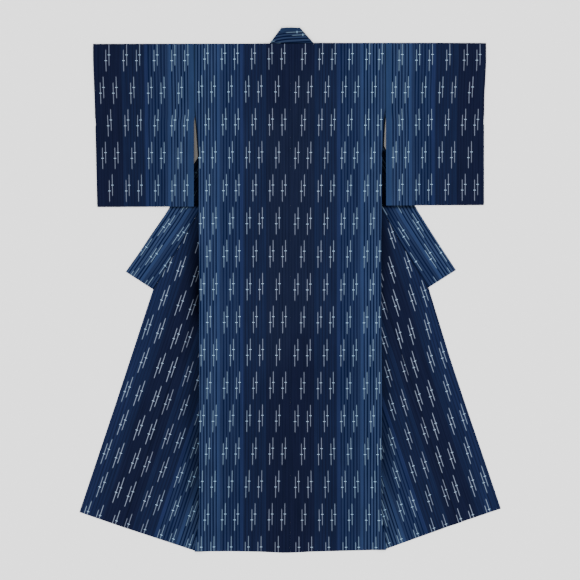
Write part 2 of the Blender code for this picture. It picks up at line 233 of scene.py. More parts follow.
def over_band(side, across, down):
    return ease((across - column(EDGE[side], down)) * SLANT)


def front_height(side, across, down):
    return CLOTH / 2 + LAYER * over_band(side, across, down)


def back_height(side, across, down):
    on_front = ease((crease_across(side, down) - across) * math.cos(CREASE_TILT))
    by_neck = NECK_LIFT * ease(down, *NECK_LIFT_DOWN) * ease(across, NECK_POINT[side], NECK_LIFT_PAST)
    lift = 1.0 - (1.0 - on_front) * (1.0 - by_neck)
    return CLOTH / 2 + lift * (front_height(side, across, down) - CLOTH / 2 + LAYER)


def sleeve_height(side, across, down):
    return CLOTH / 2 + (BAND + BAND_GAP) * over_band(side, across, down)


# across (left negative), down, angle off the upright, half length, half width, height: soft ridges, which
# every layer at the place shares
CREASES = [
    (0, 470, 88, 300, 26, 0.5), (-160, 905, 86, 190, 30, 0.45), (150, 1210, 93, 210, 34, 0.5),
    (-210, 700, 8, 260, 22, 0.35), (190, 820, -6, 300, 20, 0.35), (-470, 300, 84, 180, 24, 0.45),
    (470, 330, 97, 190, 26, 0.4), (-90, 1400, 12, 180, 24, 0.35), (70, 160, 80, 200, 28, 0.4),
    (-520, 160, 14, 130, 20, 0.3), (540, 150, -10, 140, 22, 0.3), (-400, 1180, 20, 300, 24, 0.3),
    (420, 1200, -19, 320, 24, 0.3), (0, 1545, 90, 280, 22, 0.35),
]
CREASE_END = 2.5                        # in half lengths or half widths
# a faint unevenness all over: how high it is, and how long each way
ROLL, ROLL_ACROSS, ROLL_DOWN, ROLL_START = 0.16, 61.0, 97.0, 1.3
RIPPLE, RIPPLE_LONG = 0.1, 43.0


def lie(x, down):
    """How far the cloth stands off the floor where it lies loosely."""
    z = ROLL * (1 + math.sin(x / ROLL_ACROSS + ROLL_START) * math.cos(down / ROLL_DOWN))
    z += RIPPLE * (1 + math.sin((x + down) / RIPPLE_LONG))
    for cx, cd, tilt, long, wide, height in CREASES:
        s, c = math.sin(math.radians(tilt)), math.cos(math.radians(tilt))
        a, b = x - cx, down - cd
        along, off = (a * s + b * c) / long, (a * c - b * s) / wide
        if abs(along) < CREASE_END and abs(off) < CREASE_END:
            z += height * math.exp(-along * along - off * off)
    return z


# painted shade: how deep the fronts and the collar are darkened along the back's edge, by down, and how far
# out it reaches; in the slit beside the sleeve it is darker still
SHADE = {
    "left": [(522, 0.4), (600, 0.6), (680, 0.74), (740, 0.84), (800, 0.93), (850, 0.9), (890, 0.68),
             (940, 0.46), (1050, 0.48), (1200, 0.58), (1300, 0.64), (1450, 0.6), (1530, 0.45), (1600, 0.2)],
    "right": [(522, 0.35), (570, 0.5), (620, 0.48), (720, 0.45), (800, 0.4), (850, 0.24), (930, 0.24),
              (1010, 0.38), (1150, 0.5), (1300, 0.54), (1400, 0.5), (1450, 0.44), (1600, 0.2)],
}
SHADE_REACH = {
    "left": [(700, 34.0), (850, 32.0), (1000, 42.0), (1300, 47.0)],
    "right": [(700, 26.0), (900, 22.0), (1050, 26.0), (1300, 40.0)],
}
# the slit's painted shade, where there is none yet and where it is full: from above, from below and from
# outside
SLIT_TOP, SLIT_FOOT, SLIT_SIDE = (334.0, 342.0), (530.0, 522.0), (24.0, 16.0)
# painted shade along the sleeve's foot
FOOT_SHADE, FOOT_DOWN, FOOT_REACH = 0.9, 522.0, 6.0                     # along the sleeve's foot


def painted_shade(side, across, down):
    """How deep in painted shade a front or the collar lies, from 0 to 1."""
    past = max(across - column(BODY_EDGE[side], down), 0.0)
    beside = column(SHADE[side], down) * math.exp(-(past / column(SHADE_REACH[side], down)) ** 2)
    slit = ramp(down, *SLIT_TOP) * ramp(down, *SLIT_FOOT) * ramp(past, *SLIT_SIDE)
    return max(beside, slit, FOOT_SHADE * math.exp(-((down - FOOT_DOWN) / FOOT_REACH) ** 2))


def near(distance, reach, full=1.0):
    """How near a seam a point is: `full` on it, and 0 at some distance."""
    return max(0.0, full - distance / reach)


# sheets: a middle surface of quads, then its two faces and rims

THINNED = 0.3                           # share of the wall that is gone at a seam
LOOM_JUMP = 40.0                        # two edges sewn together lie farther apart than this along the loom


class Sheet:
    """Each point keeps its loom place and its state: how near a seam and how deep in painted shade it is,
    from 0 to 1, and where its stripes are across the loom."""

    def __init__(self, name, wall):
        self.name, self.wall = name, wall
        self.points, self.loom, self.state, self.index, self.quads = [], [], [], {}, []

    def point(self, key, across, down, z, side, loom, seam=0.0, shade=0.0):
        self.index[key] = len(self.points)
        self.points.append((SIGN[side] * across, SHOULDER_Y - down, z))
        self.loom.append(loom[:3])
        self.state.append((seam, shade, loom[3]))

    def at(self, key):
        return np.array(self.points[self.index[key]])

    def quad(self, *keys):
        self.quads.append([self.index[key] for key in keys])

    def grid(self, name, rows, columns, keep=lambda i, j: True):
        for i in range(rows - 1):
            for j in range(columns - 1):
                if keep(i, j):
                    self.quad((name, i, j), (name, i + 1, j), (name, i + 1, j + 1), (name, i, j + 1))

    def bend(self, name, upper, lower, outward):
        """A half round from each key in upper to the one in lower, standing out along its own way. Where
        two edges of the cloth are sewn together there, its place on the loom jumps at the seam."""
        chains = []
        for top, foot, way in zip(upper, lower, outward):
            a, b = self.at(top), self.at(foot)
            one, two = self.index[top], self.index[foot]
            chain = [top]
            for k in range(1, ARC_STEPS):
                turn = math.pi * k / ARC_STEPS
                share = (1 - math.cos(turn)) / 2
                out = np.array([way[0], way[1], 0.0]) * (a[2] - b[2]) / 2 * math.sin(turn)
                key = (name, top, k)
                if abs(self.loom[one][1] - self.loom[two][1]) > LOOM_JUMP:
                    gone = float(k > ARC_STEPS * 0.6)
                else:
                    gone = k / ARC_STEPS
                if key not in self.index:
                    self.index[key] = len(self.points)
                    self.points.append(tuple(a + (b - a) * share + out))
                    for kept in (self.loom, self.state):
                        kept.append(tuple(p + (q - p) * gone for p, q in zip(kept[one], kept[two])))
                chain.append(key)
            chain.append(foot)
            chains.append(chain)
        for one, two in zip(chains, chains[1:]):
            for k in range(ARC_STEPS):
                self.quad(one[k], two[k], two[k + 1], one[k + 1])

    def build(self, material, nodes):
        middle = bmesh.new()
        verts = [middle.verts.new((x, y, z + lie(x, SHOULDER_Y - y))) for x, y, z in self.points]
        for quad in self.quads:
            middle.faces.new([verts[i] for i in quad])
        bmesh.ops.recalc_face_normals(middle, faces=middle.faces[:])
        middle.normal_update()
        middle.verts.index_update()
        places, owners, index = [], [], {}
        for half in (1, -1):
            for v in middle.verts:
                if v.link_faces:
                    wall = self.wall * (1.0 - THINNED * self.state[v.index][0])
                    index[half, v.index] = len(places)
                    places.append((v.co + v.normal * (half * wall / 2)) * 0.001)
                    owners.append(v.index)
        faces = []
        for f in middle.faces:
            ring = [v.index for v in f.verts]
            faces.append([index[1, i] for i in ring])
            faces.append([index[-1, i] for i in reversed(ring)])
        for e in middle.edges:
            if len(e.link_faces) == 1:
                a, b = (loop.vert.index for loop in (e.link_loops[0], e.link_loops[0].link_loop_next))
                faces.append([index[1, b], index[1, a], index[-1, a], index[-1, b]])
        middle.free()
        mesh = bpy.data.meshes.new(self.name)
        mesh.from_pydata([tuple(p) for p in places], [], faces)
        for name, values in (("loom", self.loom), ("state", self.state)):
            kept = mesh.attributes.new(name, "FLOAT_VECTOR", "POINT")
            kept.data.foreach_set("vector", np.array([values[i] for i in owners], dtype=np.float32).ravel())
        mesh.shade_smooth()
        mesh.set_sharp_from_angle(angle=math.radians(50))
        mesh.materials.append(material)
        solid = bmesh.new()
        solid.from_mesh(mesh)
        bmesh.ops.recalc_face_normals(solid, faces=solid.faces[:])
        solid.to_mesh(mesh)
        solid.free()
        piece = bpy.data.objects.new(self.name, mesh)
        bpy.context.scene.collection.objects.link(piece)
        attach(piece, "root")
        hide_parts(*nodes)
        return piece


# the cloth's places on the loom

REPEAT_ACROSS, REPEAT_ALONG = 75.5, 105.0
TICK_ACROSS, TICK_ALONG = 43.5, 46.65   # where the first mark lies in the repeat
PAIR_BY = {"left": 0.0, "right": REPEAT_ALONG}          # one row further flips which columns carry pairs
CHIRAL = {"left": 1.0, "right": -1.0}   # which bar of a mark stands higher

# how much the cloth is drawn in by down, at the centre seam and more per mm across
DRAWN_IN = [(0, 0.0), (101, 1.2), (251, 3.0), (402, 4.4), (703, 6.0), (1003, 6.8), (1154, 6.0), (1304, 4.2),
            (1455, 1.8), (1630, 0.0)]
DRAWN_AT_SEAM, DRAWN_PER_MM = 0.5, 0.0037
BACK_WARP, BACK_STRETCH = {"left": 41.0, "right": 42.2}, 1.0031
FRONT_SHIFT = {"left": (12.6, 20.6), "right": (17.2, 27.3)}             # across and along, from the back's
FRONT_TAKEN = 150.0                     # the shift comes in over this length from the shoulder
FRONT_LESS, FRONT_EASE = 3.0, (1000.0, 220.0)           # and is less by this, until near the hem
FRONT_STRIPES = 7.0
SLEEVE_ACROSS = {"left": (318.0, 1.6), "right": (319.3, 1.2)}       # its width on the loom, and what is off
SLEEVE_WARP = {"left": (1.0078, 0.2), "right": (1.0107, 1.4)}           # its stretch, and where it starts
SLEEVE_STRIPES = (309.4, 320.0)         # beside the body, and how many fewer at the cuff
OKUMI_WAY = {                           # (across, down) of two places along its warp
    "left": ((440.8, 787.5), (673.4, 1495.7)),
    "right": ((442.4, 782.7), (674.4, 1489.9)),
}
OKUMI_SHIFT = {"left": 32.8, "right": 38.6}
# across and along, beside the collar, and where that fades
OKUMI_PULL, PULL_FADES = {"left": (1.2, 0.0), "right": (6.2, 5.0)}, (20.0, 210.0)
OKUMI_ACROSS, OKUMI_NARROWS = 163.3, 0.0045             # at the collar's foot, and what it loses per mm along
COLLAR_ACROSS = (295.0, 1.04)           # at its outer edge, and what it loses per mm inward
COLLAR_LAST = {"left": 180.0, "right": 194.3}           # down to this, which keeps half marks off its seam
COLLAR_STRIPES, COLLAR_HAND = {"left": 286.6, "right": 283.3}, -1.0


def back_loom(side, across, down):
    """How far across the loom, how far along, the hand of the marks, and where the stripes are across it."""
    u = across + column(DRAWN_IN, down, soften=60.0) * (DRAWN_AT_SEAM + DRAWN_PER_MM * across)
    v = TICK_ALONG + (down - BACK_WARP[side]) / BACK_STRETCH + PAIR_BY[side]
    return u, v, CHIRAL[side], across


def front_loom(side, across, down):
    """The same length of cloth, on over the shoulder."""
    (shift_across, shift_along), taken = FRONT_SHIFT[side], ramp(down, 0.0, FRONT_TAKEN)
    u = across - (shift_across - FRONT_LESS * ease(down, *FRONT_EASE)) * taken
    v = TICK_ALONG - BACK_WARP[side] / BACK_STRETCH - (down + shift_along * taken) + PAIR_BY[side]
    return u, v, CHIRAL[side], u - FRONT_STRIPES


def sleeve_loom(side, share, down):
    """`share` is 0 beside the body and 1 at the cuff."""
    (wide, less), (stretch, more) = SLEEVE_ACROSS[side], SLEEVE_WARP[side]
    u = wide * (1.0 - share) - less
    v = down * stretch + more + PAIR_BY["right" if side == "left" else "left"]
    return u, v, -CHIRAL[side], SLEEVE_STRIPES[0] - SLEEVE_STRIPES[1] * share


def okumi_loom(side, across, down):
    foot, tip = OKUMI_WAY[side]
    length = math.hypot(tip[0] - foot[0], tip[1] - foot[1])
    s, c = (tip[0] - foot[0]) / length, (tip[1] - foot[1]) / length
    x, y = across - foot[0], down - foot[1]
    along = x * s + y * c
    pull = ease(along, *PULL_FADES)
    u = OKUMI_ACROSS - (y * s - x * c) - OKUMI_NARROWS * max(along, 0.0) - OKUMI_PULL[side][0] * pull
    v = along + OKUMI_SHIFT[side] - OKUMI_PULL[side][1] * pull + PAIR_BY[side]
    return u, v, CHIRAL[side], u


# the body

FRONT_SPLIT = (14, 8, 6, 6, 6)          # columns from the side seam to the crease, and on under it
TURNED_COLUMNS = 26
PAST_CREASE = (3.0, 9.0, 20.0, 36.0, 52.0)              # the back's columns just past the crease
PAST_WIDTH = 60.0                       # where less than this is left, they draw together
CENTRE_COLUMNS = 5
TURN_ROOM, LEAST_ROW, CENTRE_ROOM = 2.0, 6.0, 4.0       # room at the crease, in any row and at the centre
# the columns where the front begins to come down, and where it is down: each keeps off the row's edge by a
# share of the row, and off the next one in by a length or, in a narrow row, a share
HIGH_COLUMN, LOW_COLUMN = (0.4, 6.0, 0.6), (0.2, 4.0, 0.2)
# beside each seam: the length over which being near it falls by 1, and how near its own points count
CENTRE_SEAM, ARMHOLE_SEAM, OKUMI_JOIN, UNDER_COLLAR = (5.0, 0.6), (4.0, 1.0), (7.0, 0.8), (7.0, 1.0)
BACK_SPLIT = (2, 2, 3, 4, 4) + (7, 7, 7, 7, 8)          # those columns and the centre's, each cut again
BESIDE_SLIT = (225.0, -25.0)            # painted shade along the back's edge beside the slit, from its top on
EDGE_SHADE, EDGE_SHADE_REACH = 0.7, 5.0


def inner_edge(side, down):
    neck = [(0.0, NECK_POINT[side])] + closed(side, [row[:2] for row in COLLAR_RUN[side][:3]])
    return column(neck + closed(side, OKUMI_SEAM[side][:-1]), down)


def front_places(side, down):
    """The columns of a row, from the side's edge to the crease or the front's inner edge. They keep in order
    and apart where the row is narrow."""
    sewn = ramp(down, SIDE_SEAM_TOP - SEWN_IN, SIDE_SEAM_TOP)
    edge = column(BODY_EDGE[side], down, soften=10.0) - FOLD_REACH * sewn
    end = max(min(crease_across(side, down) + TURN_ROOM, edge - LEAST_ROW), inner_edge(side, down))
    band = column(EDGE[side], down)
    width = edge - end

    def held(place, further_in, off_edge, room, share):
        return max(min(place, edge - width * off_edge), further_in + min(room, width * share))

    inner = held(band + RAMP_START / SLANT, end, *HIGH_COLUMN)
    outer = held(band + (RAMP_START + RAMP) / SLANT, inner, *LOW_COLUMN)
    return [edge, outer] + steps(inner, end, 3)


def body(side, material):
    s = Sheet("body_length_" + side, CLOTH)
    rows = stations(side)
    last = len(rows) - 1
    fold_row, seam_row = rows.index(CREASE_TOP), rows.index(SIDE_SEAM_TOP)
    crease = sum(FRONT_SPLIT)
    way = (math.cos(CREASE_TILT), -math.sin(CREASE_TILT))
    for i, down in enumerate(rows):
        places = front_places(side, down)
        over, end = split(places, FRONT_SPLIT), places[-1]
        drawn = min(1.0, (end - CENTRE_ROOM) / PAST_WIDTH)
        past = [end] + [end - TURN_ROOM - p * drawn for p in PAST_CREASE]
        centre = steps(past[-1], SEAM / 2, CENTRE_COLUMNS)
        back = over + split(past + centre[1:], BACK_SPLIT)[1:]
        for j, across in enumerate(back):
            d, from_edge = down, back[0] - across
            if i == 0:
                d = shoulder_down(side, across)
            elif i == last:
                d = hem_down(side, across)
            seam, painted_edge_shade = near(across, *CENTRE_SEAM), 0.0
            if down < SIDE_SEAM_TOP:
                seam = max(seam, near(from_edge, *ARMHOLE_SEAM))
                # painted shade along the back's edge beside the slit
                painted_edge_shade = EDGE_SHADE * ease(down, *BESIDE_SLIT) * ease(from_edge, 0.0, EDGE_SHADE_REACH)
            s.point(("back", i, j), across, d, back_height(side, across, d), side, back_loom(side, across, d),
                    seam, painted_edge_shade)
            if j <= crease:
                s.point(("front", i, j), across, d, front_height(side, across, d), side,
                        front_loom(side, across, d))
        if i >= fold_row:
            start, low = s.at(("front", i, crease)), CLOTH / 2
            a0, d0, radius = SIGN[side] * start[0], SHOULDER_Y - start[1], (start[2] - low) / 2
            for k in range(1, ARC_STEPS + 1):
                turn = math.pi * k / ARC_STEPS
                a, d = a0 - radius * math.sin(turn) * way[0], d0 - radius * math.sin(turn) * way[1]
                s.point(("front", i, crease + k), a, d, low + radius * (1 + math.cos(turn)), side,
                        front_loom(side, a0 - radius * turn, d0))
            tucked = fold_out(side, (inner_edge(side, down), down)) if i < last else OKUMI_HEM[side]
            width = math.hypot(tucked[0] - a0, tucked[1] - d0)
            for k in range(1, TURNED_COLUMNS + 1):
                share = k / TURNED_COLUMNS
                a, d = a0 + (tucked[0] - a0) * share, d0 + (tucked[1] - d0) * share
                flat = fold_out(side, (a, d))
                s.point(("front", i, crease + ARC_STEPS + k), a, d, low, side, front_loom(side, *flat),
                        near(width * (1 - share), *OKUMI_JOIN), painted_shade(side, a, d))
    s.grid("back", last + 1, crease + sum(BACK_SPLIT) + 1)
    s.grid("front", last + 1, crease + ARC_STEPS + TURNED_COLUMNS + 1,
           lambda i, j: i >= fold_row or j < crease)
    shoulder, sewn = range(crease + 1), range(seam_row, last + 1)
    s.bend("shoulder", [("back", 0, j) for j in shoulder], [("front", 0, j) for j in shoulder],
           [(0, 1)] * len(shoulder))
    s.bend("side", [("back", i, 0) for i in sewn], [("front", i, 0) for i in sewn],
           [(SIGN[side], 0)] * len(sewn))
    return s.build(material, ["body_" + side])


# the sleeves

SLEEVE_ROWS = [0, 50, 110, 170, 229, 262, 310, 363, 400, 440, 480, 520]
WRIST = 262                             # the cuff is sewn from this row down
SLEEVE_COLUMNS = [0, 10, 22, 36, 52, 70, 86, 95, 100]
SLEEVE_SPLIT, SLEEVE_ROOM = 5, 12.0
SLEEVE_SHADE_ALL_OVER = {"left": 0.07, "right": 0.0}     # painted shade, a little, all over the left sleeve
CORNER_WAY = 0.71                       # both ways alike at the cuff's foot


def sleeve(side, material):
    s = Sheet("sleeve_length_" + side, CLOTH)
    rows = fine(SLEEVE_ROWS)
    last, end = len(rows) - 1, len(SLEEVE_COLUMNS) - 1
    wrist = rows.index(WRIST)
    for i, base in enumerate(rows):
        inner = column(SLEEVE_EDGE[side], base, soften=6.0)
        cuff = column(CUFF[side], base, soften=14.0) - FOLD_REACH * ramp(base, ARMHOLE, ARMHOLE + SEWN_IN)
        places = [inner + (cuff - inner) * share / 100 for share in SLEEVE_COLUMNS]
        for j, past in ((1, RAMP_START), (2, RAMP_START + RAMP)):
            places[j] = max(places[j], column(EDGE[side], base) + past / SLANT)
        for j in range(3, end):
            places[j] = max(places[j], places[j - 1] + SLEEVE_ROOM)
        for j, a in enumerate(split(places, [SLEEVE_SPLIT] * end)):
            share = (a - inner) / (cuff - inner)
            at_body, at_cuff = SLEEVE_FOOT[side]
            foot = at_body + (at_cuff - at_body) * share - FOLD_REACH
            top = shoulder_down(side, a)
            d = top + (foot - top) * base / rows[-1]
            low = sleeve_height(side, a, d)
            place = sleeve_loom(side, share, d)
            turned = (place[0], 2 * sleeve_loom(side, share, 0.0)[1] - place[1]) + place[2:]
            seam = near(a - inner, *ARMHOLE_SEAM) if base < ARMHOLE else 0.0
            s.point(("front", i, j), a, d, low, side, turned, seam, SLEEVE_SHADE_ALL_OVER[side])
            s.point(("back", i, j), a, d, low + LAYER, side, place, seam, SLEEVE_SHADE_ALL_OVER[side])
    end *= SLEEVE_SPLIT
    s.grid("back", last + 1, end + 1)
    s.grid("front", last + 1, end + 1)
    every, foot_way = range(end + 1), [(0, -1)] * end + [(SIGN[side] * CORNER_WAY, -CORNER_WAY)]
    s.bend("top", [("back", 0, j) for j in every], [("front", 0, j) for j in every], [(0, 1)] * (end + 1))
    s.bend("foot", [("back", last, j) for j in every], [("front", last, j) for j in every], foot_way)
    cuff_rows = range(wrist, last + 1)
    s.bend("foot", [("back", i, end) for i in cuff_rows], [("front", i, end) for i in cuff_rows],
           [(SIGN[side], 0)] * (len(cuff_rows) - 1) + [foot_way[-1]])
    return s.build(material, ["sleeve_" + side])


# the okumi

OKUMI_COLUMNS = 18
OKUMI_TOP = 245.0


def okumi(side, material):
    s = Sheet("overlap_length_" + side, CLOTH)
    collar_end = CLOSED_RUN[side][-1][0]
    rows = fine([OKUMI_TOP] + [d for d in stations(side) if d > OKUMI_TOP + STATION_ROOM])
    front = closed(side, [row[:2] for row in COLLAR_RUN[side][2:]] + OKUMI_EDGE[side] + [FRONT_TIP[side]])
    hem = rows[-1]
    for i, down in enumerate(rows):
        inner = (inner_edge(side, down) - SEAM, down)
        if i == len(rows) - 1:
            hem_across, hem_place = fold_out(side, OKUMI_HEM[side])
            inner = (hem_across - SEAM, hem_place)
        under_collar = down < collar_end + 1
        outer_down = down
        if not under_collar:
            outer_down = collar_end + (front[-1][0] - collar_end) * (down - collar_end) / (hem - collar_end)
        outer = (column(front, outer_down) + (SEAM if under_collar else 0.0), outer_down)
        width = math.hypot(outer[0] - inner[0], outer[1] - inner[1])
        for j in range(OKUMI_COLUMNS + 1):
            share = j / OKUMI_COLUMNS
            a, d = fold_out(side, [inner[n] + (outer[n] - inner[n]) * share for n in (0, 1)])
            seam = near(width * share, *OKUMI_JOIN)
            if under_collar:
                seam = max(seam, near(width * (1 - share), *UNDER_COLLAR))
            s.point(("okumi", i, j), a, d, CLOTH / 2, side, okumi_loom(side, a, d), seam, painted_shade(side, a, d))
    s.grid("okumi", len(rows), OKUMI_COLUMNS + 1)
    return s.build(material, ["okumi_" + side])


# the collar

BAND_COLUMNS = 15
TOP_ROWS = 9
UNDER_LEVEL = BAND * 1.5 + BAND_GAP     # where the strip crosses under the neck
NECK_IN, TOP_IN = 1.6, (1.7, 1.4)       # room for the turns, at the seam and at the band's top
UNDER_LOWER = 1.2                       # the crossing lies this much lower than the band's top
STEP_OUT = (0.5, 0.4)                   # from the second turn to where the strip runs on
FIRST_SEEN = 330                        # the strip shows from here down
# the loom: along at the strip's end, its way, and along at the centre back
COLLAR_WARP = {"left": (55.0, 1.04, 1065.65), "right": (2125.2, -1.02, 1065.65)}
FOOT_WARP = 57.4                        # no tick falls on the left foot's rim
NECK_LEAN, NECK_BOW = 0.05, 0.0021      # how the stripes at the neck slope and bow
NECK_ACROSS, NECK_STRIPES, NECK_PLAIN = 291.0, 284.6, (13.0, 292.0)
TURNED_SHADE = 0.3                      # painted shade in the turns under the neck
NECK_SHADE, NECK_SHADE_FADES = 0.6, (1.0, 5.0)          # more painted shade along the neck's seam
COLLAR_SEAM = 6.0                       # how far from its seam the collar thins


def away(one, two, toward):
    """The way square to the line from one to two, on the side of another point."""
    a, d = two[0] - one[0], two[1] - one[1]
    length = math.hypot(a, d)
    way = (d / length, -a / length)
    lean = (toward[0] - one[0]) * way[0] + (toward[1] - one[1]) * way[1]
    return way if lean > 0 else (-way[0], -way[1])


def lay_strip(s, side):
    """One half of the collar: over the neck, turned under, across, turned again, and down the okumi."""
    neck = (NECK_POINT[side] - NECK_IN, shoulder_down(side, NECK_POINT[side]) - SEAM)
    top = (BAND_TOP[side] - TOP_IN[0], -BAND_HEIGHT + TOP_IN[1])
    top_under = (top[0], top[1] + UNDER_LOWER)
    run_downs = fine(run_stations(side))
    run = [run_row(side, d) for d in run_downs]
    crossing = (run[0][0][0] - NECK_IN, run[0][0][1])
    rows, known = [], []

    def over(a, d):
        return max(back_height(side, a, max(d, 0.0)) - CLOTH / 2 + BAND / 2, BAND / 2)

    def row(seam, outer, height, v=None):
        out = []
        for k in range(BAND_COLUMNS + 1):
            a, d = (seam[n] + (outer[n] - seam[n]) * k / BAND_COLUMNS for n in (0, 1))
            out.append((a, d, height(a, d) if callable(height) else height))
        rows.append(out)
        known.append(v)

    def turn_to(level, way):
        """A half round from the last row to the same row at another level."""
        upper = rows[-1]
        lower = [(a, d, level) for a, d, _ in upper]
        for k in range(1, ARC_STEPS):
            turn = math.pi * k / ARC_STEPS
            share = (1 - math.cos(turn)) / 2
            arc = []
            for one, two in zip(upper, lower):
                out = (one[2] - two[2]) / 2 * math.sin(turn)
                arc.append(tuple(p + (q - p) * share + out * w for p, q, w in zip(one, two, way + (0.0,))))
            rows.append(arc)
            known.append(None)
        rows.append(lower)
        known.append(None)

    end_v, way_v, middle_v = COLLAR_WARP[side]
    for n in range(TOP_ROWS + 1):
        t = n / TOP_ROWS
        row((neck[0] * t, FOLD_REACH - SEAM + (neck[1] - FOLD_REACH + SEAM) * t),
            (top[0] * t, -BAND_HEIGHT + TOP_IN[1] * t), over, middle_v + SIGN[side] * neck[0] * t)
    turn_to(UNDER_LEVEL, away(neck, top, (neck[0], -BAND_HEIGHT)))
    for t in (0.25, 0.5, 0.75):
        row(tuple(neck[n] + (crossing[n] - neck[n]) * t for n in (0, 1)),
            (top[0], top[1] + UNDER_LOWER * t), UNDER_LEVEL)
    row(crossing, top_under, UNDER_LEVEL)
    turn_to(BAND / 2, away(crossing, top, (0.0, 0.0)))
    middle = [(top[n] + run[0][1][n]) / 2 for n in (0, 1)]
    row((crossing[0] + STEP_OUT[0], crossing[1] + STEP_OUT[1]), middle, BAND / 2)
    first_run = len(rows)
    lengths = [0.0]
    for one, two in zip(run, run[1:]):
        lengths.append(lengths[-1] + math.hypot(two[1][0] - one[1][0], two[1][1] - one[1][1]))
    for n, (seam, outer) in enumerate(run):
        length = math.hypot(outer[0] - seam[0], outer[1] - seam[1])
        v = max(end_v + way_v * (lengths[-1] - lengths[n]), FOOT_WARP) if run_downs[n] > FIRST_SEEN else None
        row([seam[m] + (outer[m] - seam[m]) * SEAM / length for m in (0, 1)], outer, BAND / 2, v)
    # where the strip doesn't show, it is spread evenly along the loom
    centre = BAND_COLUMNS // 2
    travelled = [0.0]
    for one, two in zip(rows, rows[1:]):
        travelled.append(travelled[-1] + math.dist(one[centre], two[centre]))
    pegs = [(t, v) for t, v in zip(travelled, known) if v is not None]
    warp = [float(np.interp(t, [p[0] for p in pegs], [p[1] for p in pegs])) for t in travelled]
    skip = 1 if side == "right" else 0      # both halves share the centre row
    for i, points in enumerate(rows[skip:], skip):
        width = math.dist(points[0][:2], points[-1][:2])
        for j, (a, d, z) in enumerate(points):
            from_outer = width * (1 - j / BAND_COLUMNS)
            seam = near(width - from_outer, COLLAR_SEAM)
            if i <= TOP_ROWS:
                x = SIGN[side] * a
                drop = d + BAND_HEIGHT + NECK_LEAN * x - NECK_BOW * min(x, 0.0) ** 2
                stripes = NECK_STRIPES - drop if drop > NECK_PLAIN[0] else NECK_PLAIN[1]
                loom = (NECK_ACROSS - drop, middle_v + x, COLLAR_HAND, stripes)
                # painted shade in the turns and along the neck's seam
                shade = TURNED_SHADE + NECK_SHADE * ease(width - from_outer, *NECK_SHADE_FADES)
            else:
                u = max(COLLAR_ACROSS[0] - COLLAR_ACROSS[1] * from_outer, COLLAR_LAST[side])
                loom = (u, warp[i], COLLAR_HAND, COLLAR_STRIPES[side] - from_outer)
                shade = painted_shade(side, a, d) if i > first_run else TURNED_SHADE
            s.point((side, i - skip, j), a, d, z, side, loom, seam, shade)
    s.grid(side, len(rows) - skip, BAND_COLUMNS + 1)


def collar(material):
    s = Sheet("collar_strip", BAND)
    for side in SIGN:
        lay_strip(s, side)
    for j in range(BAND_COLUMNS):
        s.quad(("left", 0, j), ("right", 0, j), ("right", 0, j + 1), ("left", 0, j + 1))
    return s.build(material, ["collar"])


# materials

class Wire:
    """A number in a material, which takes part in sums as plain Python numbers do."""

    def __init__(self, make, socket):
        self.make, self.socket = make, socket

    def __add__(self, other):
        return self.make.math("ADD", self, other)

    def __sub__(self, other):
        return self.make.math("SUBTRACT", self, other)

    def __rsub__(self, other):
        return self.make.math("SUBTRACT", other, self)

    def __mul__(self, other):
        return self.make.math("MULTIPLY", self, other)

    def __truediv__(self, other):
        return self.make.math("DIVIDE", self, other)

    def __rtruediv__(self, other):
        return self.make.math("DIVIDE", other, self)

    def __abs__(self):
        return self.make.math("ABSOLUTE", self)

    __radd__, __rmul__ = __add__, __mul__


class Surface:
    """A material and its nodes."""

    def __init__(self, name):
        self.material = bpy.data.materials.new(name)
        self.material.use_nodes = True
        self.tree = self.material.node_tree
        self.tree.nodes.clear()

    def node(self, kind, settings=None, values=None, out=0):
        """Adds a node: its settings first, then its values and links; gives one of its outputs."""
        made = self.tree.nodes.new(kind)
        for name, value in (settings or {}).items():
            setattr(made, name, value)
        for name, value in (values or {}).items():
            if isinstance(value, Wire):
                self.tree.links.new(value.socket, made.inputs[name])
            else:
                made.inputs[name].default_value = value
        return Wire(self, made.outputs[out]) if made.outputs else None

    def math(self, operation, *values):
        return self.node("ShaderNodeMath", {"operation": operation}, dict(enumerate(values)))

    def soft(self, value, low, high):
        """0 below low, 1 above high, and a soft slope between; low may be the larger."""
        start, end, flip = (low, high, False) if low < high else (high, low, True)
        return self.node("ShaderNodeMapRange", {"interpolation_type": "SMOOTHSTEP", "clamp": True},
                         {"Value": value, "From Min": start, "From Max": end,
                          "To Min": float(flip), "To Max": float(not flip)})

    def mix(self, share, one, two):
        """Two colours, mixed."""
        return self.node("ShaderNodeMix", {"data_type": "RGBA", "clamp_factor": True},
                         {0: share, 6: one, 7: two}, 2)

    def scaled(self, colour, by):
        return self.node("ShaderNodeVectorMath", {"operation": "SCALE"}, {0: colour, "Scale": by})

    def noise(self, place, scale, detail):
        return self.node("ShaderNodeTexNoise", {"noise_dimensions": "3D"},
                         {"Vector": place, "Scale": scale, "Detail": detail, "Roughness": 0.5})

    def vector(self, x, y, z):
        return self.node("ShaderNodeCombineXYZ", None, {"X": x, "Y": y, "Z": z})

    def apart(self, whole):
        """The three numbers of a vector."""
        made = self.node("ShaderNodeSeparateXYZ", None, {0: whole}).socket.node
        return [Wire(self, made.outputs[n]) for n in range(3)]

    def finish(self, colour, roughness, **more):
        """A matt shader on the material's output."""
        shader = self.node("ShaderNodeBsdfPrincipled", None,
                           {"Base Color": colour, "Roughness": roughness, "Specular IOR Level": 0.0, **more})
        self.node("ShaderNodeOutputMaterial", None, {"Surface": shader})
        return self.material


